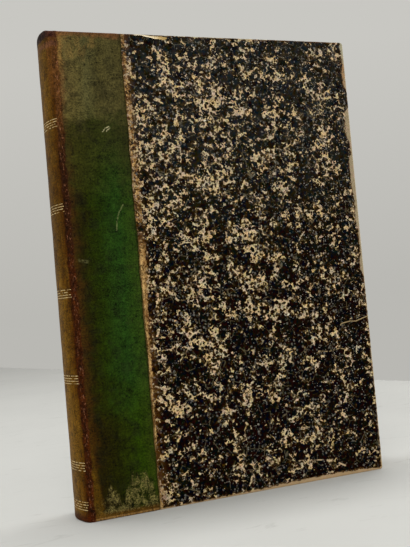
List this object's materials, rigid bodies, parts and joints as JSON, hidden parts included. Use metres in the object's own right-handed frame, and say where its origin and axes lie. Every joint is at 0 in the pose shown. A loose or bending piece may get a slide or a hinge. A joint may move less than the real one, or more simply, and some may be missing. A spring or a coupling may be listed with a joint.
{
  "type": "antique leather book",
  "caption": "Upright closed quarter-leather book with marbled paper sides, rounded smooth spine with gilt fillets, and covers that open on their joints.",
  "frame": {"origin": "middle of the footprint, at the tail edge that the closed book stands on", "axes": "+Z from tail to head, -Y out of the front cover, +Y out of the back cover, -X out of the spine, +X out of the fore-edge"},
  "size_m": [0.1906, 0.03, 0.27],
  "materials": {
    "spine_leather": "sunned olive brown, rubbed, smooth grain, faint sheen",
    "green_leather": "green leather faded to olive and rubbed red-brown at the joint",
    "marbled_paper": "black and buff shell marbled paper, matt, edges worn pale",
    "board": "grey-brown pasteboard",
    "endleaf": "aged cream paper, matt",
    "leaves": "aged leaves, toned edges",
    "card": "brown card",
    "linen": "open linen under glue and paper",
    "gilt": "worn gold leaf in tooled lines",
    "silk": "striped silk over a cord core, dusty",
    "hemp": "twisted hemp cord"
  },
  "bodies": {
    "book_block": {"text_block": "leaves", "front_flyleaf": "endleaf", "back_flyleaf": "endleaf", "spine_leather": "spine_leather", "spine_stiffener": "card", "spine_lining": "linen", "spine_gilding": "gilt", "headband": "silk", "tailband": "silk", "sewing_cord_1": "hemp", "sewing_cord_2": "hemp", "sewing_cord_3": "hemp", "sewing_cord_4": "hemp", "sewing_cord_5": "hemp"},
    "front_cover": {"front_board": "board", "front_pastedown": "endleaf", "front_leather": "green_leather", "front_side_paper": "marbled_paper"},
    "back_cover": {"back_board": "board", "back_pastedown": "endleaf", "back_leather": "green_leather", "back_side_paper": "marbled_paper"}
  },
  "joints": [
    {"name": "front_joint", "type": "hinge", "parent": "book_block", "child": "front_cover", "pos_m": [-0.08825, -0.01515, 0.135], "axis": [0, 0, -1], "range_deg": [0, 175]},
    {"name": "back_joint", "type": "hinge", "parent": "book_block", "child": "back_cover", "pos_m": [-0.08825, 0.01515, 0.135], "axis": [0, 0, 1], "range_deg": [0, 175]}
  ]
}
